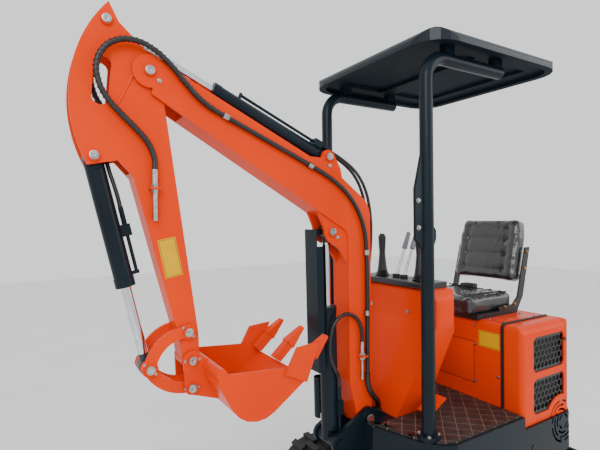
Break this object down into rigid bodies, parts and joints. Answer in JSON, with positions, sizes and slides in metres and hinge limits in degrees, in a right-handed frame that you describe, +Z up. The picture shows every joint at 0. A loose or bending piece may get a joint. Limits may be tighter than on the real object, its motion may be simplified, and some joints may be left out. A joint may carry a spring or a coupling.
{
  "type": "canopy mini excavator",
  "caption": "Small tracked excavator with an open canopy, seat and console, a slewing upper body, a cranked boom, an arm, a toothed bucket and a rear dozer blade, all on hydraulic cylinders.",
  "frame": {"origin": "on the ground, centred under the part's bounding box", "axes": "X points forward towards the arm, Y to the machine's left, Z up"},
  "size_m": [2.4728, 0.93, 2.282],
  "materials": {
    "orange_paint": "gloss paint",
    "dark_paint": "satin paint",
    "steel": "plain machined steel",
    "rod_chrome": "hard chrome",
    "cast": "painted casting",
    "track_rubber": "moulded rubber",
    "mat": "stitched mat",
    "black_plastic": "moulded plastic",
    "grey_plastic": "moulded grips",
    "grille_metal": "black mesh",
    "vinyl": "padded vinyl",
    "roof_plastic": "moulded gloss roof",
    "hose_rubber": "smooth hose cover"
  },
  "bodies": {
    "undercarriage": {"track_frame": "dark_paint", "track_left": "track_rubber", "track_right": "track_rubber", "sprockets": "cast", "idlers": "cast", "track_rollers": "cast", "travel_motors": "cast", "slew_ring": "steel"},
    "upper": {"upper_frame": "dark_paint", "counterweight": "dark_paint", "floor_mat": "mat", "seat_box": "orange_paint", "left_cowl": "orange_paint", "right_cowl": "orange_paint", "hood_grilles": "grille_metal", "engine_block": "cast", "console": "orange_paint", "dash_panel": "black_plastic", "joysticks": "black_plastic", "travel_levers": "grey_plastic", "foot_pedals": "orange_paint", "seat_base": "black_plastic", "seat_cushion": "vinyl", "seat_back": "vinyl", "post_left": "dark_paint", "post_right": "dark_paint", "canopy_roof": "roof_plastic", "hood_seals": "hose_rubber", "deck_glands": "hose_rubber"},
    "hood": {"rear_hood": "orange_paint"},
    "blade": {"dozer_blade": "dark_paint"},
    "blade_barrel": {"blade_barrel": "dark_paint"},
    "blade_rod": {"blade_rod": "rod_chrome"},
    "boom": {"boom": "orange_paint", "boom_fittings": "steel", "boom_hose_left": "hose_rubber", "boom_hose_right": "hose_rubber", "arm_hose_left": "hose_rubber", "arm_hose_right": "hose_rubber", "foot_sleeve_left": "hose_rubber", "foot_sleeve_right": "hose_rubber", "loop_hose": "hose_rubber", "arm_cylinder_hose_left": "hose_rubber", "arm_cylinder_hose_right": "hose_rubber"},
    "boom_barrel": {"boom_barrel": "dark_paint"},
    "boom_rod": {"boom_rod": "rod_chrome", "rod_guard": "dark_paint"},
    "arm": {"arm": "orange_paint", "arm_fittings": "steel", "bucket_hose": "hose_rubber"},
    "arm_barrel": {"arm_barrel": "dark_paint"},
    "arm_rod": {"arm_rod": "rod_chrome"},
    "bucket": {"bucket": "orange_paint", "bucket_teeth": "orange_paint"},
    "bucket_barrel": {"bucket_barrel": "dark_paint"},
    "bucket_rod": {"bucket_rod": "rod_chrome"},
    "rocker": {"rocker": "orange_paint"},
    "bucket_link": {"bucket_link": "orange_paint"}
  },
  "joints": [
    {"name": "slew", "type": "hinge", "parent": "undercarriage", "child": "upper", "pos_m": [-0.35637, 0, 0.386], "axis": [0, 0, 1], "continuous": true},
    {"name": "hood_lid", "type": "hinge", "parent": "upper", "child": "hood", "pos_m": [-0.85437, 0, 1.032], "axis": [0, 1, 0], "range_deg": [0, 80]},
    {"name": "boom_lift", "type": "hinge", "parent": "upper", "child": "boom", "pos_m": [0.07963, 0, 0.65], "axis": [0, 1, 0], "range_deg": [-4, 67], "deforming": ["foot_sleeve_left", "foot_sleeve_right", "loop_hose"]},
    {"name": "boom_barrel_swing", "type": "hinge", "parent": "upper", "child": "boom_barrel", "pos_m": [0.23563, 0, 0.576], "axis": [0, 1, 0], "range_deg": [-5, 69]},
    {"name": "boom_rod_slide", "type": "slide", "parent": "boom_barrel", "child": "boom_rod", "axis": [0.0145, 0, 0.9999], "range_m": [-0.2, 0.015]},
    {"name": "arm_swing", "type": "hinge", "parent": "boom", "child": "arm", "pos_m": [0.99363, 0, 2.029], "axis": [0, -1, 0], "range_deg": [-1, 105], "deforming": ["arm_hose_left", "arm_hose_right"]},
    {"name": "arm_barrel_swing", "type": "hinge", "parent": "boom", "child": "arm_barrel", "pos_m": [0.26063, 0, 1.789], "axis": [0, -1, 0], "range_deg": [-1, 12], "deforming": ["arm_cylinder_hose_left", "arm_cylinder_hose_right"]},
    {"name": "arm_rod_slide", "type": "slide", "parent": "arm_barrel", "child": "arm_rod", "axis": [0.9121, 0, 0.4101], "range_m": [-0.29, 0.005]},
    {"name": "bucket_curl", "type": "hinge", "parent": "arm", "child": "bucket", "pos_m": [0.86263, 0, 1.037], "axis": [0, -1, 0], "range_deg": [-25, 115]},
    {"name": "rocker_swing", "type": "hinge", "parent": "arm", "child": "rocker", "pos_m": [0.87563, 0, 1.138], "axis": [0, -1, 0], "range_deg": [-15, 66]},
    {"name": "link_swing", "type": "hinge", "parent": "bucket", "child": "bucket_link", "pos_m": [0.86563, 0, 0.941], "axis": [0, -1, 0], "range_deg": [-83, 18]},
    {"name": "bucket_barrel_swing", "type": "hinge", "parent": "arm", "child": "bucket_barrel", "pos_m": [1.16763, 0, 1.738], "axis": [0, -1, 0], "range_deg": [-1, 1], "deforming": ["bucket_hose"]},
    {"name": "bucket_rod_slide", "type": "slide", "parent": "bucket_barrel", "child": "bucket_rod", "axis": [-0.2204, 0, -0.9754], "range_m": [-0.19, 0.042]},
    {"name": "blade_lift", "type": "hinge", "parent": "undercarriage", "child": "blade", "pos_m": [-0.78637, 0, 0.205], "axis": [0, 1, 0], "range_deg": [-10, 22]},
    {"name": "blade_barrel_swing", "type": "hinge", "parent": "undercarriage", "child": "blade_barrel", "pos_m": [-0.61837, 0, 0.33], "axis": [0, 1, 0], "range_deg": [-7, 14]},
    {"name": "blade_rod_slide", "type": "slide", "parent": "blade_barrel", "child": "blade_rod", "axis": [-0.9772, 0, -0.2124], "range_m": [-0.04, 0.018]}
  ],
  "couplings": [
    {"joint": "boom_barrel_swing", "follows": "boom_lift", "ratio": 1.0074},
    {"joint": "boom_rod_slide", "follows": "boom_lift", "m_per_rad": -0.16371},
    {"joint": "arm_barrel_swing", "follows": "arm_swing", "ratio": 0.10131},
    {"joint": "arm_rod_slide", "follows": "arm_swing", "m_per_rad": -0.15559},
    {"joint": "rocker_swing", "follows": "bucket_curl", "ratio": 0.57064},
    {"joint": "link_swing", "follows": "bucket_curl", "ratio": -0.71537},
    {"joint": "bucket_barrel_swing", "follows": "bucket_curl", "ratio": 0.0040253},
    {"joint": "bucket_rod_slide", "follows": "bucket_curl", "m_per_rad": -0.092626},
    {"joint": "blade_barrel_swing", "follows": "blade_lift", "ratio": 0.61964},
    {"joint": "blade_rod_slide", "follows": "blade_lift", "m_per_rad": -0.0993}
  ]
}
